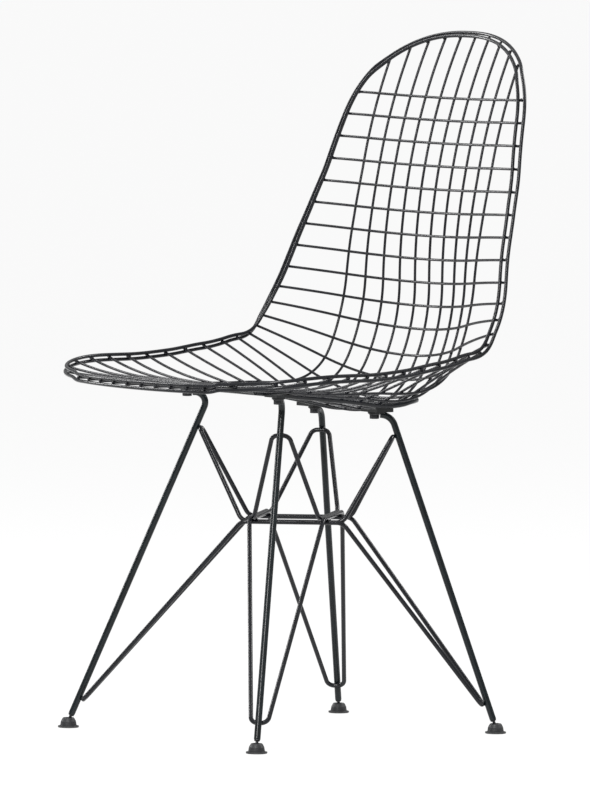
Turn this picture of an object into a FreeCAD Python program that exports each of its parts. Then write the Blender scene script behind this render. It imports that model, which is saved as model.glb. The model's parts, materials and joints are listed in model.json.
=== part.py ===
import FreeCAD, Part
import math
import os

# Wire mesh chair: a welded wire shell on four bent rod legs.
# All sizes are in millimetres. The floor is at zero and +Z is up.
# The chair faces -Y and is the same on both sides of the plane x = 0.

Vector = FreeCAD.Vector

# Rod and wire diameters
mesh_wire_diameter = 3.2
rim_rod_diameter = 4.3
leg_rod_diameter = 8.0
brace_rod_diameter = 5.5
support_rod_diameter = 7.0
weld_depth = 0.25
end_weld_depth = 0.12
brace_side_weld = 0.02

# Shell centre line: seen from the side, from the front edge to the top.
# Each arc is a turn in degrees and a radius. A negative turn bends down or back.
front_edge_y = -236.0
front_edge_z = 431.4
front_edge_slope = -1.4
profile_arcs = [(-11.7, 1478.0), (9.8, 134.0), (65.1, 90.0), (28.9, 208.0), (-27.3, 650.0)]

# Shell width and dish at a few stations. Each row holds the distance from the top,
# half width, rise of the middle part, and slope of the outer part.
shell_stations = [
    (0.0, 147.7, 7.6, 0.06),
    (167.0, 183.8, 7.4, 0.075),
    (223.0, 196.0, 10.6, 0.135),
    (280.0, 208.3, 16.6, 0.215),
    (366.0, 226.9, 25.2, 0.31),
    (435.0, 231.0, 27.4, 0.395),
    (502.0, 232.5, 28.3, 0.43),
    (560.0, 235.2, 20.7, 0.33),
    (617.0, 238.4, 10.3, 0.25),
    (675.0, 240.0, 3.5, 0.20),
    (760.0, 240.0, 1.7, 0.13),
    (842.0, 240.0, 1.5, 0.04),
]
middle_half_width = 127.0
top_corner_length = 115.0
top_corner_power = 2.35
front_corner_length = 140.0
front_corner_power = 2.6

# The plane of the cross wires turns from nearly level on the back to upright on the seat.
back_plane_tilt = 15.0
seat_plane_tilt = 88.0
plane_turn_start = 314.0
plane_turn_end = 543.0

# Mesh spacing
long_wire_count = 10
long_wire_pitch = 28.2
first_cross_wire = 81.3
back_wire_pitch = 28.5
back_wire_count = 11
bend_wire_pitch = 34.0
bend_wire_count = 4
seat_wire_pitch = 28.6
seat_wire_count = 11

# Rims
rim_point_count = 96
rim_line_points = 2400
outline_sample_count = 200
rim_step_start_x = 130.0
rim_step_end_x = 149.0
outer_reach_side = 5.5
outer_reach_top = 6.4
inner_reach_side = -4.2
inner_reach_top = 0.3
seat_reach = 0.5
wire_overhang = 1.8
end_search_reach = 10.0
end_search_step = 0.5
rim_stride = 16

# Legs
front_foot_x = 190.4
front_foot_y = -193.2
front_knee_x = 72.6
front_knee_y = -68.7
front_mount_x = 91.7
front_mount_y = -89.6
front_knee_radius = 12.5
back_foot_x = 156.5
back_foot_y = 193.2
back_knee_x = 69.8
back_knee_y = 97.4
back_mount_x = 59.6
back_mount_y = 79.8
back_knee_radius = 18.0
leg_end_rounding = 1.0

# Glides and their ball studs
ball_diameter = 9.0
ball_clearance = 0.05
ball_height = 7.5
neck_diameter = 3.6
neck_length = 9.0
collar_diameter = 7.0
collar_length = 1.2
spigot_diameter = 4.0
spigot_length = 14.0
spigot_clearance = 0.05
glide_flange_diameter = 25.5
glide_flange_height = 2.0
glide_body_diameter = 20.0
glide_top_diameter = 13.0
glide_height = 12.0
glide_shoulder_height = 7.5
glide_lip_height = 1.6
glide_mouth_radius = 5.3
glide_foot_bevel = 0.6
glide_shoulder_bevel = 0.8
glide_top_bevel = 0.2
spigot_end_gap = 1.0

# Mounts between the legs and the shell
plate_thickness = 3.0
plate_length = 24.0
plate_weld_depth = 0.06
back_upstand_height = 9.0
tab_thickness = 2.6
tab_diameter = 16.0
tab_step_start = 6.8
tab_step_length = 5.0
tab_tongue_width = 7.0
tab_clearance = 0.1
bolt_head_width = 10.0
bolt_head_height = 5.0
bolt_chamfer = 0.5
bolt_hole_diameter = 6.4
bolt_shank_diameter = 6.0
washer_diameter = 13.0
washer_thickness = 1.2
front_plate_top = 416.7
back_plate_top = 391.6
front_plate_outer_x = 104.0
back_plate_inner_x = 48.0

# Support frame under the seat
support_front_x = 76.0
support_front_y = -112.0
support_back_x = 86.0
support_back_y = 112.0
support_corner_radius = 18.0
support_rail_points = 8
rear_run_station = 469.0
support_search_start = 440.0

# Brace loops between the legs
brace_level = 259.8
brace_width = 20.0
brace_edge_near = [Vector(-10.0, -67.4, 0), Vector(73.5, 22.3, 0)]
brace_edge_far = [Vector(-72.1, -9.1, 0), Vector(11.0, 82.4, 0)]
upper_brace_front_z = 369.0
upper_brace_back_z = 360.0
lower_brace_z = 37.0
brace_corner_radius = 14.0
brace_end_radius = 9.0

mesh_radius = mesh_wire_diameter / 2
rim_radius = rim_rod_diameter / 2
leg_radius = leg_rod_diameter / 2
brace_radius = brace_rod_diameter / 2
support_radius = support_rod_diameter / 2
layer_step = mesh_wire_diameter - weld_depth
rim_step = mesh_radius + rim_radius - weld_depth


# Curves

def unit(vector):
    return vector * (1.0 / vector.Length)


def bent_edge(start, end, tangent, tangent_at_start):
    """Arc, or line where it is flat, from one point to another with a known end direction."""
    chord = end - start
    along = unit(chord)
    side = tangent - along * tangent.dot(along)
    if side.Length < 1e-4:
        return Part.LineSegment(start, end).toShape()
    half_angle = math.atan2(side.Length, tangent.dot(along))
    bulge = unit(side) if tangent_at_start else unit(side) * -1.0
    middle = (start + end) * 0.5 + bulge * (chord.Length / 2 * math.tan(half_angle / 2))
    return Part.Arc(start, middle, end).toShape()


def smooth_edges(points, tangents, closed=False):
    """Pairs of arcs that run through every point in its given direction."""
    edges = []
    count = len(points) if closed else len(points) - 1
    for index in range(count):
        after = (index + 1) % len(points)
        start, end = points[index], points[after]
        first, last = tangents[index], tangents[after]
        gap = end - start
        both = first + last
        bend = 2 * (1 - first.dot(last)) * gap.dot(gap)
        reach = gap.dot(gap) / (gap.dot(both) + math.sqrt(gap.dot(both) ** 2 + bend))
        joint = (start + first * reach + end - last * reach) * 0.5
        edges.append(bent_edge(start, joint, first, True))
        edges.append(bent_edge(joint, end, last, False))
    return edges


def corner_edges(points, radii):
    """Straight runs joined by round bends; one radius for each inner corner."""
    edges = []
    start = points[0]
    for index in range(1, len(points) - 1):
        corner = points[index]
        radius = radii[index - 1]
        back = unit(points[index - 1] - corner)
        ahead = unit(points[index + 1] - corner)
        half = back.getAngle(ahead) / 2
        cut = radius / math.tan(half)
        centre = corner + unit(back + ahead) * (radius / math.sin(half))
        middle = centre + unit(corner - centre) * radius
        edges.append(Part.LineSegment(start, corner + back * cut).toShape())
        edges.append(Part.Arc(corner + back * cut, middle, corner + ahead * cut).toShape())
        start = corner + ahead * cut
    edges.append(Part.LineSegment(start, points[-1]).toShape())
    return edges


def rod(edges, radius):
    """Round rod along a chain of edges."""
    path = Part.Wire(edges)
    first = path.OrderedEdges[0]
    start = first.valueAt(first.FirstParameter)
    heading = first.tangentAt(first.FirstParameter)
    if first.Orientation == "Reversed":
        start = first.valueAt(first.LastParameter)
        heading = first.tangentAt(first.LastParameter) * -1.0
    ring = Part.Wire([Part.Circle(start, heading, radius).toShape()])
    return path.makePipeShell([ring], True, False)


def blend(value, start, end):
    """Zero before start, one after end, with an even ease between them."""
    share = min(1.0, max(0.0, (value - start) / (end - start)))
    return share * share * (3 - 2 * share)


def station_value(distance, column):
    """Smooth value between the rows of the station list, without overshoot."""
    rows = shell_stations
    distance = min(max(distance, rows[0][0]), rows[-1][0])
    place = 0
    while place < len(rows) - 2 and distance > rows[place + 1][0]:
        place += 1
    slopes = []
    for index in (place, place + 1):
        rates = []
        for near in (index - 1, index):
            if 0 <= near < len(rows) - 1:
                rise = rows[near + 1][column] - rows[near][column]
                rates.append(rise / (rows[near + 1][0] - rows[near][0]))
        same_way = len(rates) == 2 and rates[0] * rates[1] > 0
        slopes.append(2 * rates[0] * rates[1] / (rates[0] + rates[1]) if same_way else 0.0)
        if len(rates) == 1:
            slopes[-1] = rates[0]
    span = rows[place + 1][0] - rows[place][0]
    t = (distance - rows[place][0]) / span
    low, high = rows[place][column], rows[place + 1][column]
    value = low * (1 + 2 * t) * (1 - t) ** 2 + high * t * t * (3 - 2 * t)
    return value + span * t * (1 - t) * (slopes[0] * (1 - t) - slopes[1] * t)


# Shell surface

profile_length = sum(abs(math.radians(turn)) * radius for turn, radius in profile_arcs)


def profile_point(distance):
    """Point of the centre line at a distance from the top edge."""
    left = profile_length - distance
    angle = math.radians(front_edge_slope)
    y, z = front_edge_y, front_edge_z
    for index, (turn, radius) in enumerate(profile_arcs):
        length = abs(math.radians(turn)) * radius
        part = left if index == len(profile_arcs) - 1 else min(left, length)
        side = 1.0 if turn > 0 else -1.0
        new_angle = angle + side * part / radius
        y += side * radius * (math.sin(new_angle) - math.sin(angle))
        z += side * radius * (math.cos(angle) - math.cos(new_angle))
        angle = new_angle
        left -= part
        if left <= 0:
            break
    return y, z


def rise(distance, x):
    """Height of the dish above the centre line, a distance x from the middle."""
    middle_rise = station_value(distance, 2)
    slope = station_value(distance, 3)
    inner_radius = (middle_half_width ** 2 + middle_rise ** 2) / (2 * middle_rise)
    across = abs(x)
    if across <= middle_half_width:
        return inner_radius - math.sqrt(inner_radius ** 2 - across ** 2)
    edge_x, edge_rise = outline_edge(distance, slope, middle_rise)
    start_angle = 2 * math.atan2(middle_rise, middle_half_width)
    chord_angle = math.atan2(edge_rise - middle_rise, edge_x - middle_half_width)
    chord = math.hypot(edge_rise - middle_rise, edge_x - middle_half_width)
    turn = chord_angle - start_angle
    if abs(turn) < 1e-4:
        return middle_rise + (across - middle_half_width) * math.tan(start_angle)
    radius = chord / (2 * math.sin(turn))
    sine = math.sin(start_angle) + (across - middle_half_width) / radius
    return middle_rise + radius * (math.cos(start_angle) - math.sqrt(1 - sine * sine))


def outline_edge(distance, slope, middle_rise):
    """Full side edge of the shell at this station, before its corners are rounded."""
    edge_x = station_value(distance, 1)
    return edge_x, middle_rise + slope * (edge_x - middle_half_width)


def surface_point(distance, x):
    """Point of the shell surface that holds the middle of the cross wires."""
    tilt_share = blend(distance, plane_turn_start, plane_turn_end)
    tilt = math.radians(back_plane_tilt + (seat_plane_tilt - back_plane_tilt) * tilt_share)
    y, z = profile_point(distance)
    height = rise(distance, x)
    return Vector(x, y - height * math.cos(tilt), z + height * math.sin(tilt))


def surface_normal(distance, x):
    """Direction away from the surface on the sitter's side."""
    step = 0.5
    along = surface_point(distance + step, x) - surface_point(distance - step, x)
    across = surface_point(distance, x + step) - surface_point(distance, x - step)
    return unit(across.cross(along)) * -1.0


def outline_samples():
    """Outline from the middle of the top to the middle of the front, on the +X side."""
    samples = []
    steps = outline_sample_count
    for index in range(steps + 1):
        turn = index / steps * math.pi / 2
        distance = top_corner_length * (1 - math.cos(turn) ** (2 / top_corner_power))
        share = math.sin(turn) ** (2 / top_corner_power)
        samples.append((distance, share * station_value(distance, 1)))
    side_length = profile_length - top_corner_length - front_corner_length
    for index in range(1, steps):
        distance = top_corner_length + side_length * index / steps
        samples.append((distance, station_value(distance, 1)))
    for index in range(steps, -1, -1):
        turn = index / steps * math.pi / 2
        depth = front_corner_length * (1 - math.cos(turn) ** (2 / front_corner_power))
        share = math.sin(turn) ** (2 / front_corner_power)
        distance = profile_length - depth
        samples.append((distance, share * station_value(distance, 1)))
    return samples


# Rims

def stacked_share(distance):
    """Zero on the back, where the rim rods lie side by side; one on the seat."""
    return blend(distance, plane_turn_start, plane_turn_end)


def rim_centre_line(inner):
    """Closely spaced points along half of a rim, from the top to the front.

    The inner rod lies on the sitter's side of the wires. The outer rod stands at
    the ends of the wires on the back, and passes beneath them on the seat.
    """
    outline = outline_samples()
    last = len(outline) - 1
    line = []
    for index, (distance, x) in enumerate(outline):
        before = outline[max(0, index - 1)]
        after = outline[min(last, index + 1)]
        forward = after[0] - before[0]
        sideways = after[1] - before[1]
        if index in (0, last):
            forward = 0.0
        run = math.hypot(forward, sideways)
        facing_top = abs(sideways / run)
        stacked = stacked_share(distance)
        side, top, seat = outer_reach_side, outer_reach_top, seat_reach
        if inner:
            side, top, seat = inner_reach_side, inner_reach_top, -seat_reach
        reach = (side + (top - side) * facing_top) * (1 - stacked) + seat * stacked
        place = distance - sideways / run * reach
        across = x + forward / run * reach
        on_long_wires = 1.0 - blend(across, rim_step_start_x, rim_step_end_x)
        lift = rim_step if inner else -rim_step * stacked
        lift -= layer_step * on_long_wires
        line.append(surface_point(place, across) + surface_normal(place, across) * lift)
    return line


def rim_path(inner):
    """Closed chain of arcs along the outer or the inner rim rod."""
    line = rim_centre_line(inner)
    travelled = [0.0]
    for index in range(1, len(line)):
        travelled.append(travelled[-1] + (line[index] - line[index - 1]).Length)
    points = []
    tangents = []
    half_count = rim_point_count // 2
    place = 1
    for index in range(half_count + 1):
        target = travelled[-1] * index / half_count
        while place < len(line) - 1 and travelled[place] < target:
            place += 1
        share = (target - travelled[place - 1]) / (travelled[place] - travelled[place - 1])
        points.append(line[place - 1] + (line[place] - line[place - 1]) * share)
        early = line[place] - line[max(place - 2, 0)]
        late = line[min(place + 1, len(line) - 1)] - line[place - 1]
        tangents.append(unit(unit(early) * (1 - share) + unit(late) * share))
    tangents[0] = Vector(1, 0, 0)
    tangents[-1] = Vector(-1, 0, 0)
    for index in range(half_count - 1, 0, -1):
        points.append(Vector(-points[index].x, points[index].y, points[index].z))
        heading = tangents[index]
        tangents.append(Vector(heading.x, -heading.y, -heading.z))
    return smooth_edges(points, tangents, closed=True)


def nearest_index(point, rim_line):
    """Index of the rim point that is nearest to a given point."""
    size = len(rim_line)
    coarse = min(range(0, size, rim_stride), key=lambda i: (rim_line[i] - point).Length)
    nearby = [i % size for i in range(coarse - rim_stride, coarse + rim_stride + 1)]
    return min(nearby, key=lambda i: (rim_line[i] - point).Length)


def end_gap(point, heading, rim_line):
    """Smallest distance from the flat end of a mesh wire to the outer rim rod."""
    size = len(rim_line)
    best = nearest_index(point, rim_line)
    axis = unit(rim_line[(best + 1) % size] - rim_line[best - 1])
    first = unit(heading.cross(axis))
    second = unit(heading.cross(first))
    gaps = []
    for index in range(24):
        angle = index * math.pi / 12
        reach = first * math.cos(angle) + second * math.sin(angle)
        offset = point + reach * mesh_radius - rim_line[best]
        gaps.append(offset.cross(axis).Length - rim_radius)
    return min(gaps)


def wire_end(point_at, inside, outside, rim_line):
    """Place along a wire where its end just sinks into the outer rim rod."""
    step = end_search_step if outside > inside else -end_search_step

    def clear(place):
        heading = unit(point_at(place + step / 4) - point_at(place - step / 4))
        return end_gap(point_at(place), heading, rim_line) > -end_weld_depth

    while abs(outside - inside) > end_search_step and clear(inside + step):
        inside += step
    outside = inside + step
    for _ in range(16):
        middle = (inside + outside) / 2
        if clear(middle):
            inside = middle
        else:
            outside = middle
    return inside


def wire_over_rim(point_at, inside, outside, rim_line):
    """Place along a wire, just past the point where it lies over the outer rim rod."""
    def apart(place):
        point = point_at(place)
        return (rim_line[nearest_index(point, rim_line)] - point).Length

    steps = math.ceil((outside - inside) / end_search_step)
    places = [inside + end_search_step * index for index in range(steps)]
    return min(places, key=apart) + wire_overhang


# Mesh wires

def cross_wire_stations():
    """Distances of the cross wires from the top edge."""
    stations = [first_cross_wire + back_wire_pitch * i for i in range(back_wire_count)]
    for _ in range(bend_wire_count):
        stations.append(stations[-1] + bend_wire_pitch)
    for _ in range(seat_wire_count):
        stations.append(stations[-1] + seat_wire_pitch)
    return stations


def cross_wire(station, rim_line):
    """One wire from side to side: a middle arc and an arc on each side."""
    outside = station_value(station, 1) + end_search_reach
    if stacked_share(station) < 1.0:
        end = wire_end(lambda x: surface_point(station, x), middle_half_width, outside, rim_line)
    else:
        end = wire_over_rim(
            lambda x: surface_point(station, x), middle_half_width, outside, rim_line)
    edges = []
    spans = [(-end, -middle_half_width), (-middle_half_width, middle_half_width)]
    spans.append((middle_half_width, end))
    for low, high in spans:
        places = [surface_point(station, x) for x in (low, (low + high) / 2, high)]
        edges.append(Part.Arc(*places).toShape())
    return rod(edges, mesh_radius)


def beneath(distance, x, depth):
    """Point at a depth under the cross wires, square to the shell and held at this x."""
    place = x
    for _ in range(4):
        place = x + depth * surface_normal(distance, place).x
    point = surface_point(distance, place) - surface_normal(distance, place) * depth
    return Vector(x, point.y, point.z)


def long_wire_point(distance, x):
    """Middle of a long wire, one layer beneath the cross wires."""
    return beneath(distance, x, layer_step)


def long_wire(x, stations, rim_line):
    """One wire from the front edge to the top edge, in the upright plane at x."""
    top = wire_end(lambda s: long_wire_point(s, x), stations[0], -end_search_reach, rim_line)
    last = profile_length + end_search_reach
    front = wire_over_rim(lambda s: long_wire_point(s, x), stations[-1], last, rim_line)
    places = [top] + stations + [front]
    points = [long_wire_point(place, x) for place in places]
    tangents = []
    for place in places:
        tangents.append(unit(long_wire_point(place + 0.5, x) - long_wire_point(place - 0.5, x)))
    return rod(smooth_edges(points, tangents), mesh_radius)


# Support frame and mounts

def station_at_y(y, x, depth):
    """Distance from the top at which the point beneath the shell has this y."""
    low, high = support_search_start, profile_length
    for _ in range(40):
        middle = (low + high) / 2
        if beneath(middle, x, depth).y > y:
            low = middle
        else:
            high = middle
    return low


rail_depth = mesh_radius + support_radius - weld_depth
cross_run_depth = rail_depth + layer_step


def rail_point(y):
    """Middle of the support rail on the +X side at this y."""
    share = (y - support_front_y) / (support_back_y - support_front_y)
    x = support_front_x + (support_back_x - support_front_x) * share
    return beneath(station_at_y(y, x, rail_depth), x, rail_depth)


def support_frame():
    """Hairpin of rod: a rail on each side and a sagging run across the rear."""
    count = support_rail_points
    run = support_back_y - support_front_y
    rail = [rail_point(support_front_y + run * i / count) for i in range(count + 1)]
    headings = []
    for index in range(count + 1):
        y = support_front_y + run * index / count
        headings.append(unit(rail_point(y + 0.5) - rail_point(y - 0.5)))
    corner_x = support_back_x - support_corner_radius
    side = beneath(rear_run_station, corner_x, cross_run_depth)
    middle = beneath(rear_run_station, 0.0, cross_run_depth)
    mirrored_side = Vector(-side.x, side.y, side.z)
    run_radius_angle = 2 * math.atan2(side.z - middle.z, side.x)
    drop_share = (side - middle).z / math.hypot(side.z - middle.z, side.y - middle.y)
    lean_share = (side - middle).y / math.hypot(side.z - middle.z, side.y - middle.y)
    sine, cosine = math.sin(run_radius_angle), math.cos(run_radius_angle)
    inward = Vector(-cosine, -sine * lean_share, -sine * drop_share)
    edges = smooth_edges(rail + [side], headings + [inward])
    mirrored = []
    for edge in edges:
        mirrored.append(edge.mirror(Vector(0, 0, 0), Vector(1, 0, 0)))
    edges.append(Part.Arc(side, middle, mirrored_side).toShape())
    return rod(Part.__sortEdges__(edges + mirrored), support_radius)


def mirrored_pair(shape):
    """The shape and its mirror image across the plane x = 0."""
    return [shape, shape.mirror(Vector(0, 0, 0), Vector(1, 0, 0))]


def prism(outline, bottom, height):
    """Upright block with a straight-sided outline."""
    corners = [Vector(x, y, bottom) for x, y in outline]
    face = Part.Face(Part.makePolygon(corners + corners[:1]))
    return face.extrude(Vector(0, 0, height))


def front_plate():
    """Flat plate butted on the outer side of the rail."""
    low_y = front_mount_y - plate_length / 2
    high_y = front_mount_y + plate_length / 2
    contact = support_radius - plate_weld_depth
    outline = [(rail_point(low_y).x + contact, low_y), (front_plate_outer_x, low_y)]
    outline += [(front_plate_outer_x, high_y), (rail_point(high_y).x + contact, high_y)]
    plate = prism(outline, front_plate_top - plate_thickness, plate_thickness)
    hole = Part.makeCylinder(
        bolt_hole_diameter / 2, plate_thickness, Vector(front_mount_x, front_mount_y, 0) +
        Vector(0, 0, front_plate_top - plate_thickness))
    return plate.cut(hole)


def back_plate():
    """Plate with a turned-up edge that meets the inner side of the rail."""
    low_y = back_mount_y - plate_length / 2
    high_y = back_mount_y + plate_length / 2
    contact = support_radius - plate_weld_depth
    low_x = rail_point(low_y).x - contact
    high_x = rail_point(high_y).x - contact
    bottom = back_plate_top - plate_thickness
    outline = [(back_plate_inner_x, low_y), (low_x, low_y)]
    outline += [(high_x, high_y), (back_plate_inner_x, high_y)]
    plate = prism(outline, bottom, plate_thickness)
    upstand = [(low_x - plate_thickness, low_y), (low_x, low_y)]
    upstand += [(high_x, high_y), (high_x - plate_thickness, high_y)]
    plate = plate.fuse(prism(upstand, bottom, back_upstand_height)).removeSplitter()
    hole = Part.makeCylinder(
        bolt_hole_diameter / 2, plate_thickness, Vector(back_mount_x, back_mount_y, bottom))
    return plate.cut(hole)


def mount_tab(mount, knee, top):
    """Eye at the bolt with a tongue that lies in the step of the leg rod."""
    back = unit(Vector(knee.x - mount.x, knee.y - mount.y, 0))
    side = Vector(-back.y, back.x, 0)
    bottom = top - tab_thickness
    half = tab_tongue_width / 2
    length = tab_step_start + tab_step_length
    outline = [mount + side * half, mount + side * half + back * length]
    outline += [mount - side * half + back * length, mount - side * half]
    tongue = prism([(point.x, point.y) for point in outline], bottom, tab_thickness)
    centre = Vector(mount.x, mount.y, bottom)
    eye = Part.makeCylinder(tab_diameter / 2, tab_thickness, centre)
    hole = Part.makeCylinder(bolt_hole_diameter / 2, tab_thickness, centre)
    return eye.fuse(tongue).removeSplitter().cut(hole)


def mount_bolt(mount, plate_top):
    """Hexagon head bolt, head down, screwed into the plate from beneath."""
    tab_bottom = plate_top - plate_thickness - tab_thickness
    head_top = tab_bottom - washer_thickness
    corner_radius = bolt_head_width / math.sqrt(3)
    corners = []
    for index in range(6):
        angle = math.radians(60 * index)
        corners.append((mount.x + corner_radius * math.cos(angle),
                        mount.y + corner_radius * math.sin(angle)))
    head = prism(corners, head_top - bolt_head_height, bolt_head_height)
    round_top = Part.makeCone(
        corner_radius - bolt_chamfer, corner_radius + bolt_head_height - bolt_chamfer,
        bolt_head_height, Vector(mount.x, mount.y, head_top - bolt_head_height))
    head = head.common(round_top)
    shank = Part.makeCylinder(
        bolt_shank_diameter / 2, plate_top - head_top, Vector(mount.x, mount.y, head_top))
    return head.fuse(shank).removeSplitter()


def mount_washer(mount, plate_top):
    bottom = plate_top - plate_thickness - tab_thickness - washer_thickness
    place = Vector(mount.x, mount.y, bottom)
    disc = Part.makeCylinder(washer_diameter / 2, washer_thickness, place)
    return disc.cut(Part.makeCylinder(bolt_hole_diameter / 2, washer_thickness, place))


# Legs, studs and glides

def leg_axis(ball, knee):
    return unit(knee - ball)


def leg(ball, knee, mount, knee_radius):
    """Bent rod from the ball stud up to its step for the tab."""
    axis = leg_axis(ball, knee)
    start = ball + axis * neck_length
    outward = unit(mount - knee)
    end = mount - outward * tab_step_start
    body = rod(corner_edges([start, knee, end], [knee_radius]), leg_radius)
    bottom_edges = [edge for edge in body.Edges
                    if edge.Closed and (edge.CenterOfMass - start).Length < leg_radius / 2]
    body = body.makeFillet(leg_end_rounding, bottom_edges)
    bore = Part.makeCylinder(
        spigot_diameter / 2 + spigot_clearance, spigot_length, start, axis)
    step_bottom = mount.z + leg_radius - tab_thickness
    step_centre = Vector(mount.x, mount.y, step_bottom)
    reach = math.hypot(tab_step_start + tab_step_length, tab_tongue_width / 2) + tab_clearance
    cutter = Part.makeCylinder(reach, leg_rod_diameter, step_centre)
    return body.cut(bore).cut(cutter)


def glide_stud(ball, knee):
    """Ball, neck, collar against the rod's end and spigot in its bore."""
    axis = leg_axis(ball, knee)
    start = ball + axis * neck_length
    stud = Part.makeSphere(ball_diameter / 2, ball)
    stud = stud.fuse(Part.makeCylinder(neck_diameter / 2, neck_length, ball, axis))
    collar_start = start - axis * collar_length
    stud = stud.fuse(Part.makeCylinder(collar_diameter / 2, collar_length, collar_start, axis))
    spigot = Part.makeCylinder(spigot_diameter / 2, spigot_length - spigot_end_gap, start, axis)
    return stud.fuse(spigot).removeSplitter()


def glide(ball):
    """Plastic foot turned about its upright axis, with a socket for the ball."""
    foot = Vector(ball.x, ball.y, 0)
    flange = glide_flange_diameter / 2
    body = glide_body_diameter / 2
    top = glide_top_diameter / 2
    bevel = glide_shoulder_bevel
    points = [(0, 0), (flange - glide_foot_bevel, 0), (flange, glide_foot_bevel)]
    points += [(flange, glide_flange_height), (body, glide_flange_height + bevel)]
    points += [(body - bevel, glide_shoulder_height), (top + bevel, glide_height - bevel)]
    points += [(top - glide_top_bevel, glide_height), (0, glide_height)]
    corners = [Vector(foot.x + x, foot.y, z) for x, z in points]
    face = Part.Face(Part.makePolygon(corners + corners[:1]))
    bell = face.revolve(foot, Vector(0, 0, 1), 360)
    socket_radius = ball_diameter / 2 + ball_clearance
    lip_radius = math.sqrt(socket_radius ** 2 - glide_lip_height ** 2)
    mouth_start = ball_height + glide_lip_height
    mouth = Part.makeCone(
        lip_radius, glide_mouth_radius, glide_height - mouth_start,
        Vector(foot.x, foot.y, mouth_start))
    return bell.cut(Part.makeSphere(socket_radius, ball)).cut(mouth)


# Brace loops

def brace_loop(front_leg, back_leg, upper, level):
    """Closed loop between a front leg at -X and a back leg at +X."""
    near, far = brace_edge_near, brace_edge_far
    along = unit(near[1] - near[0])
    inward = Vector(-along.y, along.x, 0)
    shift = brace_radius - brace_side_weld
    if not upper:
        shift = -shift
    near_middle = (near[0] + near[1]) * 0.5 + inward * shift + Vector(0, 0, level)
    far_middle = (far[0] + far[1]) * 0.5 - inward * shift + Vector(0, 0, level)
    radii = [brace_corner_radius, brace_end_radius, brace_end_radius, brace_corner_radius]
    halves = []
    for place, leg_line, height in (
            (0, front_leg, upper_brace_front_z if upper else lower_brace_z),
            (1, back_leg, upper_brace_back_z if upper else lower_brace_z)):
        ball, knee = leg_line
        axis = leg_axis(ball, knee)
        centre = ball + axis * ((height - ball.z) / axis.z)
        toward = Vector(-centre.x, -centre.y, 0)
        toward = unit(toward - axis * toward.dot(axis))
        apex = centre + toward * (leg_radius + brace_radius - weld_depth)
        half = inward * (brace_width / 2)
        near_corner = near[place] + inward * shift + Vector(0, 0, level)
        far_corner = far[place] - inward * shift + Vector(0, 0, level)
        corners = [near_corner, apex - half, apex + half, far_corner]
        edges = corner_edges([near_middle] + corners + [far_middle], radii)
        halves.append(rod(edges, brace_radius))
    return halves[0].fuse(halves[1]).removeSplitter().Solids[0]


# Build every piece on its own

outer_edges = rim_path(False)
inner_edges = rim_path(True)
rim_line = Part.Wire(outer_edges).discretize(Number=rim_line_points)
pieces = [("rim_outer", [rod(outer_edges, rim_radius)])]
pieces.append(("rim_inner", [rod(inner_edges, rim_radius)]))
stations = cross_wire_stations()
for index in range(long_wire_count):
    x = (index - (long_wire_count - 1) / 2) * long_wire_pitch
    pieces.append(("long_wire_%02d" % (index + 1), [long_wire(x, stations, rim_line)]))
for index, station in enumerate(stations):
    pieces.append(("cross_wire_%02d" % (index + 1), [cross_wire(station, rim_line)]))
pieces.append(("support_frame", [support_frame()]))

front_rod_z = front_plate_top - plate_thickness - leg_radius
back_rod_z = back_plate_top - plate_thickness - leg_radius
front_ball = Vector(front_foot_x, front_foot_y, ball_height)
back_ball = Vector(back_foot_x, back_foot_y, ball_height)
front_top = Vector(front_knee_x, front_knee_y, front_rod_z)
back_top = Vector(back_knee_x, back_knee_y, back_rod_z)
front_mount = Vector(front_mount_x, front_mount_y, front_rod_z)
back_mount = Vector(back_mount_x, back_mount_y, back_rod_z)

front_leg = leg(front_ball, front_top, front_mount, front_knee_radius)
back_leg = leg(back_ball, back_top, back_mount, back_knee_radius)
for name, shape in zip(("front_left", "front_right"), mirrored_pair(front_leg)):
    pieces.append(("leg_" + name, [shape]))
for name, shape in zip(("back_left", "back_right"), mirrored_pair(back_leg)):
    pieces.append(("leg_" + name, [shape]))
front_stud = glide_stud(front_ball, front_top)
back_stud = glide_stud(back_ball, back_top)
for name, shape in zip(("front_left", "front_right"), mirrored_pair(front_stud)):
    pieces.append(("glide_stud_" + name, [shape]))
for name, shape in zip(("back_left", "back_right"), mirrored_pair(back_stud)):
    pieces.append(("glide_stud_" + name, [shape]))
for name, shape in zip(("front_left", "front_right"), mirrored_pair(glide(front_ball))):
    pieces.append(("glide_" + name, [shape]))
for name, shape in zip(("back_left", "back_right"), mirrored_pair(glide(back_ball))):
    pieces.append(("glide_" + name, [shape]))

front_line = (Vector(-front_foot_x, front_foot_y, ball_height),
              Vector(-front_knee_x, front_knee_y, front_rod_z))
back_line = (back_ball, back_top)
level_step = brace_rod_diameter - weld_depth
low_level = brace_level - level_step / 2
high_level = brace_level + level_step / 2
for name, upper in (("upper", True), ("lower", False)):
    low_loop = brace_loop(front_line, back_line, upper, low_level)
    high_loop = mirrored_pair(brace_loop(front_line, back_line, upper, high_level))[1]
    pieces.append(("brace_loop_%s_a" % name, [low_loop]))
    pieces.append(("brace_loop_%s_b" % name, [high_loop]))

plates = mirrored_pair(front_plate()) + mirrored_pair(back_plate())
pieces.append(("mount_plates", plates))
front_tab = mount_tab(front_mount, front_top, front_plate_top - plate_thickness)
back_tab = mount_tab(back_mount, back_top, back_plate_top - plate_thickness)
pieces.append(("leg_tabs", mirrored_pair(front_tab) + mirrored_pair(back_tab)))
bolts = mirrored_pair(mount_bolt(front_mount, front_plate_top))
bolts += mirrored_pair(mount_bolt(back_mount, back_plate_top))
pieces.append(("mount_bolts", bolts))
washers = mirrored_pair(mount_washer(front_mount, front_plate_top))
washers += mirrored_pair(mount_washer(back_mount, back_plate_top))
pieces.append(("mount_washers", washers))

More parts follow.
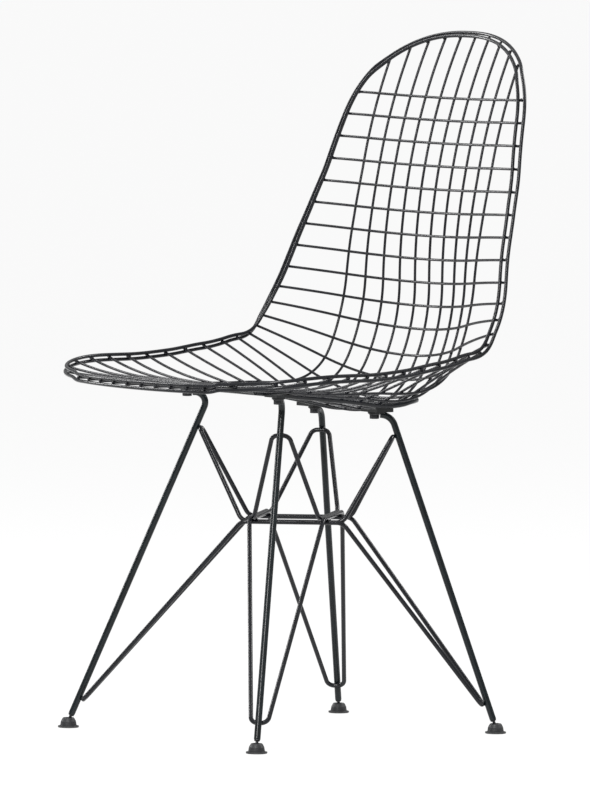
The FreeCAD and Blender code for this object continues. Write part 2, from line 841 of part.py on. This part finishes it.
# Centre the footprint on the origin and write one file for each piece

whole = Part.Compound([solid for _, solids in pieces for solid in solids])
box = whole.optimalBoundingBox()
shift = Vector(0, -(box.YMin + box.YMax) / 2, 0)
os.makedirs("parts", exist_ok=True)
for name, solids in pieces:
    shape = solids[0] if len(solids) == 1 else Part.Compound(solids)
    shape.translate(shift)
    shape.exportStep("parts/%s.step" % name)
print("size", round(box.XLength, 2), round(box.YLength, 2), round(box.ZLength, 2))
print("shift y", round(shift.y, 3), "front ball", front_ball, "back ball", back_ball)
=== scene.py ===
import json
import math
import random

import bmesh
import bpy
from mathutils import Matrix, Vector
from mathutils.bvhtree import BVHTree


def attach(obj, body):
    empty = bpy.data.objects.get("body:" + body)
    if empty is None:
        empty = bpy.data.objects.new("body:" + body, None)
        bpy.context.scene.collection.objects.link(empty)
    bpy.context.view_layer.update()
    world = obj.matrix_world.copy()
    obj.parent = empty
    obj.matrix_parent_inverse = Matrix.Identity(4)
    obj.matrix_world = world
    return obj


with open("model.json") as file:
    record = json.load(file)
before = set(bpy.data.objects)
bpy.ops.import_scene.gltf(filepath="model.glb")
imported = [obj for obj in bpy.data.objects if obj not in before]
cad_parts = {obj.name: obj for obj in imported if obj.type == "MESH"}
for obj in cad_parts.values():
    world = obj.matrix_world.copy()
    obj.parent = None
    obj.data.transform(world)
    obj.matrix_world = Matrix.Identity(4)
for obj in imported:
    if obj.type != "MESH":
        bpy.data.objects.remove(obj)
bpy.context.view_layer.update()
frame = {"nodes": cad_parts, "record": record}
bpy.context.scene.view_settings.view_transform = "Standard"

# The photograph's frame in pixels, and the camera that was fitted to it
IMAGE_WIDTH = 590
IMAGE_HEIGHT = 787
FOCAL_PIXELS = 10452.0
CENTRE_U = 292.07
CENTRE_V = 385.03
CAMERA_DISTANCE = 12.619
CAMERA_TARGET = Vector((0.0, -0.016162, 0.420))
CAMERA_BACK = Vector((0.79639, -0.60128, 0.06493))
CAMERA_RIGHT = Vector((0.60224, 0.79829, 0.005905))
CAMERA_UP = Vector((-0.05538, 0.03440, 0.99785))
CAMERA_REACH = 1000.0
SENSOR = 36.0

# Floor and dome: each grey of the dome stands beside the height that it belongs to
FLOOR_HALF = 400.0
FLOOR_WHITE_SHARE = 0.85
DOME_GREYS = ((0.05, 0.22), (0.9, 0.9))
WORLD_WHITE = 0.95

# Lamps: name, place, width and height in metres, power in watts
LAMPS = (
    ("key_light", (1.6, -2.6, 2.6), (0.5, 2.2), 95.0),
    ("fill_light", (-2.6, -1.2, 1.8), (0.4, 2.0), 45.0),
    ("back_light", (0.6, 2.6, 2.4), (2.2, 0.5), 55.0),
)
LAMP_TARGET = (0.0, 0.0, 0.45)

# Places of the welds, in metres: how close two rods are, and how far apart two welds are
WELD_REACH = 0.0009
WELD_SPACING = 0.006

# Radius of a weld bead in metres
MESH_WELD_RADIUS = 0.00145
RIM_WELD_RADIUS = 0.0016
BRACE_WELD_RADIUS = 0.0026
FRAME_WELD_RADIUS = 0.0019

# Unevenness of the weld beads
WELD_SEED = 7
WELD_STRETCH_LOW = 0.85
WELD_STRETCH_HIGH = 1.2
WELD_LUMP_SHARE = 0.12
WELD_LUMP_WAVES = 5
WELD_LUMP_SHIFT = 900

# Colours of the rubbed places
COAT_RUBBED = (0.09, 0.095, 0.1)
STEEL_RUBBED = (0.12, 0.12, 0.125)
PLASTIC_SCUFFED = (0.09, 0.09, 0.088)


# Materials

class Nodes:
    """Small helper that adds and links shader nodes."""

    def __init__(self, name):
        self.material = bpy.data.materials.new(name)
        self.material.use_nodes = True
        self.tree = self.material.node_tree
        self.shader = self.tree.nodes["Principled BSDF"]

    def add(self, kind, **values):
        node = self.tree.nodes.new(kind)
        for key, value in values.items():
            setattr(node, key, value)
        return node

    def link(self, source, target):
        self.tree.links.new(source, target)

    def place(self):
        return self.add("ShaderNodeTexCoord").outputs["Object"]

    def noise(self, place, scale, detail=2.0, roughness=0.5):
        node = self.add("ShaderNodeTexNoise")
        node.inputs["Scale"].default_value = scale
        node.inputs["Detail"].default_value = detail
        node.inputs["Roughness"].default_value = roughness
        self.link(place, node.inputs["Vector"])
        return node.outputs["Fac"]

    def ramp(self, factor, stops):
        node = self.add("ShaderNodeValToRGB")
        ramp = node.color_ramp
        while len(ramp.elements) < len(stops):
            ramp.elements.new(0.5)
        for element, (position, colour) in zip(ramp.elements, stops):
            element.position = position
            element.color = (*colour, 1.0)
        self.link(factor, node.inputs["Fac"])
        return node.outputs["Color"]

    def spread(self, factor, low, high, start=0.3, end=0.7):
        node = self.add("ShaderNodeMapRange")
        node.inputs["From Min"].default_value = start
        node.inputs["From Max"].default_value = end
        node.inputs["To Min"].default_value = low
        node.inputs["To Max"].default_value = high
        self.link(factor, node.inputs["Value"])
        return node.outputs["Result"]

    def mix(self, factor, first, second):
        node = self.add("ShaderNodeMix", data_type="RGBA")
        self.link(factor, node.inputs["Factor"])
        for socket, value in ((node.inputs["A"], first), (node.inputs["B"], second)):
            if isinstance(value, tuple):
                socket.default_value = (*value, 1.0)
            else:
                self.link(value, socket)
        return node.outputs["Result"]

    def bump(self, height, strength, distance):
        node = self.add("ShaderNodeBump")
        node.inputs["Strength"].default_value = strength
        node.inputs["Distance"].default_value = distance
        self.link(height, node.inputs["Height"])
        self.link(node.outputs["Normal"], self.shader.inputs["Normal"])

    def edge_mask(self, start, end):
        geometry = self.add("ShaderNodeNewGeometry")
        return self.spread(geometry.outputs["Pointiness"], low=0.0, high=1.0, start=start, end=end)

    def combine(self, operation, first, second):
        node = self.add("ShaderNodeMath", operation=operation)
        self.link(first, node.inputs[0])
        if isinstance(second, float):
            node.inputs[1].default_value = second
        else:
            self.link(second, node.inputs[1])
        return node.outputs["Value"]


def coated_steel(name, dark, light, rough_low, rough_high, grain):
    """Semi-gloss powder coat: fine orange peel, faint cool tint, rubbed patches and edges."""
    nodes = Nodes(name)
    place = nodes.place()
    cloud = nodes.noise(place, scale=26.0, detail=3.0, roughness=0.6)
    tint = nodes.ramp(cloud, [(0.32, dark), (0.52, light), (0.72, dark)])
    rubbed = nodes.noise(place, scale=90.0, detail=4.0, roughness=0.65)
    patches = nodes.spread(rubbed, low=0.0, high=0.35, start=0.5, end=0.72)
    worn = nodes.combine("MULTIPLY", nodes.edge_mask(start=0.58, end=0.75), patches)
    colour = nodes.mix(worn, tint, COAT_RUBBED)
    nodes.link(colour, nodes.shader.inputs["Base Color"])
    smear = nodes.noise(place, scale=55.0, detail=3.0, roughness=0.55)
    nodes.link(nodes.spread(smear, rough_low, rough_high), nodes.shader.inputs["Roughness"])
    peel = nodes.noise(place, scale=grain)
    nodes.bump(peel, strength=0.12, distance=0.00006)
    nodes.shader.inputs["Specular IOR Level"].default_value = 0.22
    nodes.shader.inputs["Coat Weight"].default_value = 0.22
    nodes.shader.inputs["Coat Roughness"].default_value = 0.05
    return nodes.material


def dark_metal(name):
    """Phosphated steel with fine turning marks and brighter rubbed edges."""
    nodes = Nodes(name)
    place = nodes.place()
    cloud = nodes.noise(place, scale=140.0, detail=4.0, roughness=0.6)
    tint = nodes.ramp(cloud, [(0.3, (0.010, 0.0105, 0.012)), (0.7, (0.028, 0.029, 0.032))])
    worn = nodes.edge_mask(start=0.56, end=0.7)
    colour = nodes.mix(worn, tint, STEEL_RUBBED)
    nodes.link(colour, nodes.shader.inputs["Base Color"])
    nodes.shader.inputs["Metallic"].default_value = 0.6
    gloss = nodes.spread(cloud, low=0.3, high=0.5)
    nodes.link(gloss, nodes.shader.inputs["Roughness"])
    stretch = nodes.add("ShaderNodeMapping")
    stretch.inputs["Scale"].default_value = (1.0, 1.0, 30.0)
    nodes.link(place, stretch.inputs["Vector"])
    marks = nodes.noise(stretch.outputs["Vector"], scale=220.0)
    nodes.bump(marks, strength=0.2, distance=0.0001)
    return nodes.material


def dark_plastic(name):
    """Moulded nylon: fine spark texture, duller scuffed foot."""
    nodes = Nodes(name)
    place = nodes.place()
    cloud = nodes.noise(place, scale=120.0, detail=4.0, roughness=0.6)
    tint = nodes.ramp(cloud, [(0.3, (0.010, 0.0105, 0.012)), (0.7, (0.020, 0.021, 0.023))])
    height = nodes.add("ShaderNodeSeparateXYZ")
    nodes.link(place, height.inputs["Vector"])
    foot = nodes.spread(height.outputs["Z"], low=1.0, high=0.0, start=0.0005, end=0.0025)
    scuffs = nodes.combine("MULTIPLY", foot, nodes.spread(cloud, low=0.1, high=0.8))
    colour = nodes.mix(scuffs, tint, PLASTIC_SCUFFED)
    nodes.link(colour, nodes.shader.inputs["Base Color"])
    gloss = nodes.spread(cloud, low=0.42, high=0.62)
    nodes.link(gloss, nodes.shader.inputs["Roughness"])
    sparks = nodes.noise(place, scale=1800.0, roughness=0.6)
    nodes.bump(sparks, strength=0.3, distance=0.00015)
    return nodes.material


SLOT_MATERIALS = {
    "coated_wire": coated_steel(
        "wire_coat", dark=(0.005, 0.0055, 0.007), light=(0.010, 0.0105, 0.014),
        rough_low=0.22, rough_high=0.36, grain=900.0),
    "coated_rod": coated_steel(
        "rod_coat", dark=(0.004, 0.0045, 0.006), light=(0.008, 0.009, 0.012),
        rough_low=0.18, rough_high=0.32, grain=800.0),
    "coated_leg": coated_steel(
        "leg_coat", dark=(0.004, 0.0055, 0.006), light=(0.007, 0.011, 0.013),
        rough_low=0.17, rough_high=0.30, grain=700.0),
    "coated_plate": coated_steel(
        "plate_coat", dark=(0.005, 0.0055, 0.006), light=(0.009, 0.010, 0.011),
        rough_low=0.30, rough_high=0.45, grain=700.0),
    "dark_steel": dark_metal("bolt_steel"),
    "dark_plastic": dark_plastic("glide_plastic"),
}

slot_of_node = {row["node"]: row["material_slot"] for row in frame["record"]["subparts"]}
for node, item in frame["nodes"].items():
    material = SLOT_MATERIALS[slot_of_node[node]]
    if not item.material_slots:
        item.data.materials.append(material)
    for slot in item.material_slots:
        slot.material = material


# Welds

def corners_of(node):
    """Corner points of a CAD node, each once."""
    return sorted({tuple(round(c, 6) for c in v.co) for v in frame["nodes"][node].data.vertices})


def touching_places(first_nodes, second_nodes):
    """Middle of every place where a piece of the first group meets one of the second."""
    points = []
    faces = []
    for node in second_nodes:
        mesh = frame["nodes"][node].data
        start = len(points)
        points += [corner.co.copy() for corner in mesh.vertices]
        faces += [[start + index for index in polygon.vertices] for polygon in mesh.polygons]
    tree = BVHTree.FromPolygons(points, faces)
    groups = []
    for point in [point for node in first_nodes for point in corners_of(node)]:
        other, _, _, gap = tree.find_nearest(Vector(point))
        if gap >= WELD_REACH:
            continue
        middle = (Vector(point) + other) / 2
        for start, members in groups:
            if (start - middle).length < WELD_SPACING:
                members.append(middle)
                break
        else:
            groups.append((middle, [middle]))
    return [sum(members, Vector()) / len(members) for _, members in groups]


def weld_beads(name, places, radius, slot):
    """Small uneven lumps of weld, all in one mesh."""
    shape = bmesh.new()
    chance = random.Random(WELD_SEED)
    for place in places:
        made = bmesh.ops.create_icosphere(shape, subdivisions=2, radius=radius)
        turn = Matrix.Rotation(chance.uniform(0, math.pi), 4, "Z")
        stretch = Vector([chance.uniform(WELD_STRETCH_LOW, WELD_STRETCH_HIGH) for _ in range(3)])
        for corner in made["verts"]:
            wave = corner.co.x / radius * WELD_LUMP_WAVES + place.z * WELD_LUMP_SHIFT
            lump = 1 + WELD_LUMP_SHARE * math.sin(wave)
            corner.co = turn @ Vector(a * b for a, b in zip(corner.co, stretch)) * lump + place
    mesh = bpy.data.meshes.new(name)
    shape.to_mesh(mesh)
    shape.free()
    for polygon in mesh.polygons:
        polygon.use_smooth = True
    mesh.materials.append(SLOT_MATERIALS[slot])
    item = bpy.data.objects.new(name, mesh)
    bpy.context.collection.objects.link(item)
    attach(item, "chair")


long_wires = [node for node in frame["nodes"] if node.startswith("long_wire")]
cross_wires = [node for node in frame["nodes"] if node.startswith("cross_wire")]
wires = long_wires + cross_wires
legs = [node for node in frame["nodes"] if node.startswith("leg_") and node != "leg_tabs"]
loops = [node for node in frame["nodes"] if node.startswith("brace_loop")]
rims = ["rim_outer", "rim_inner"]
for name, places, radius, slot in (
        ("mesh_welds", touching_places(long_wires, cross_wires), MESH_WELD_RADIUS, "coated_wire"),
        ("rim_welds", touching_places(rims, wires), RIM_WELD_RADIUS, "coated_wire"),
        ("brace_welds", touching_places(loops, legs), BRACE_WELD_RADIUS, "coated_rod"),
        ("frame_welds", touching_places(["support_frame"], wires), FRAME_WELD_RADIUS, "coated_rod"),
):
    weld_beads(name, places, radius, slot)


# Camera, floor and light

def make_camera():
    data = bpy.data.cameras.new("view_camera")
    data.sensor_fit = "AUTO"
    data.sensor_width = SENSOR
    data.lens = FOCAL_PIXELS / IMAGE_HEIGHT * SENSOR
    data.shift_x = (IMAGE_WIDTH / 2 - CENTRE_U) / IMAGE_HEIGHT
    data.shift_y = (CENTRE_V - IMAGE_HEIGHT / 2) / IMAGE_HEIGHT
    data.clip_end = CAMERA_REACH
    camera = bpy.data.objects.new("view_camera", data)
    back = CAMERA_BACK.normalized()
    right = (CAMERA_RIGHT - back * CAMERA_RIGHT.dot(back)).normalized()
    up = back.cross(right)
    turn = Matrix((right, up, back)).transposed().to_4x4()
    camera.matrix_world = Matrix.Translation(CAMERA_TARGET + back * CAMERA_DISTANCE) @ turn
    bpy.context.collection.objects.link(camera)
    bpy.context.scene.camera = camera


def make_stage():
    """Pale floor that looks white to the camera and keeps the chair's shadow."""
    mesh = bpy.data.meshes.new("floor")
    mesh.from_pydata([(-FLOOR_HALF, -FLOOR_HALF, 0), (FLOOR_HALF, -FLOOR_HALF, 0),
                      (FLOOR_HALF, FLOOR_HALF, 0), (-FLOOR_HALF, FLOOR_HALF, 0)],
                     [], [(0, 1, 2, 3)])
    floor = bpy.data.objects.new("floor", mesh)
    bpy.context.collection.objects.link(floor)
    nodes = Nodes("floor_paper")
    nodes.shader.inputs["Roughness"].default_value = 0.9
    nodes.shader.inputs["Specular IOR Level"].default_value = 0.0
    grain = nodes.noise(nodes.place(), scale=40.0, detail=3.0)
    shade = nodes.ramp(grain, [(0.3, (0.93, 0.93, 0.93)), (0.7, (0.95, 0.95, 0.95))])
    nodes.link(shade, nodes.shader.inputs["Base Color"])
    paths = nodes.add("ShaderNodeLightPath")
    seen = nodes.combine("MAXIMUM", paths.outputs["Is Camera Ray"],
                         paths.outputs["Is Glossy Ray"])
    seen = nodes.combine("MAXIMUM", seen, paths.outputs["Is Transmission Ray"])
    share = nodes.combine("MULTIPLY", seen, FLOOR_WHITE_SHARE)
    white = nodes.add("ShaderNodeEmission")
    white.inputs["Strength"].default_value = 1.0
    mix = nodes.add("ShaderNodeMixShader")
    nodes.link(share, mix.inputs["Fac"])
    nodes.link(nodes.shader.outputs["BSDF"], mix.inputs[1])
    nodes.link(white.outputs["Emission"], mix.inputs[2])
    output = nodes.tree.nodes["Material Output"]
    nodes.link(mix.outputs["Shader"], output.inputs["Surface"])
    mesh.materials.append(nodes.material)


def make_world():
    """Soft dome of light, brighter overhead; the camera itself sees it as white."""
    world = bpy.data.worlds.new("studio")
    world.use_nodes = True
    bpy.context.scene.world = world
    tree = world.node_tree
    tree.nodes.clear()
    output = tree.nodes.new("ShaderNodeOutputWorld")
    light = tree.nodes.new("ShaderNodeBackground")
    place = tree.nodes.new("ShaderNodeTexCoord")
    split = tree.nodes.new("ShaderNodeSeparateXYZ")
    ramp = tree.nodes.new("ShaderNodeValToRGB")
    for element, (position, grey) in zip(ramp.color_ramp.elements, DOME_GREYS):
        element.position = position
        element.color = (grey, grey, grey, 1.0)
    tree.links.new(place.outputs["Generated"], split.inputs["Vector"])
    tree.links.new(split.outputs["Z"], ramp.inputs["Fac"])
    paths = tree.nodes.new("ShaderNodeLightPath")
    mix = tree.nodes.new("ShaderNodeMix")
    mix.data_type = "RGBA"
    colours = [socket for socket in mix.inputs if socket.type == "RGBA"]
    colours[1].default_value = (WORLD_WHITE, WORLD_WHITE, WORLD_WHITE, 1.0)
    tree.links.new(paths.outputs["Is Camera Ray"], mix.inputs["Factor"])
    tree.links.new(ramp.outputs["Color"], colours[0])
    seen = [socket for socket in mix.outputs if socket.type == "RGBA"][0]
    tree.links.new(seen, light.inputs["Color"])
    light.inputs["Strength"].default_value = 1.0
    tree.links.new(light.outputs["Background"], output.inputs["Surface"])


def area_light(name, place, size, power):
    data = bpy.data.lights.new(name, "AREA")
    data.shape = "RECTANGLE"
    data.size, data.size_y = size
    data.energy = power
    lamp = bpy.data.objects.new(name, data)
    aim = (Vector(LAMP_TARGET) - Vector(place)).to_track_quat("-Z", "Y")
    lamp.rotation_euler = aim.to_euler()
    lamp.location = place
    bpy.context.collection.objects.link(lamp)


make_camera()
make_stage()
make_world()
for lamp_name, lamp_place, lamp_size, lamp_power in LAMPS:
    area_light(lamp_name, lamp_place, lamp_size, lamp_power)
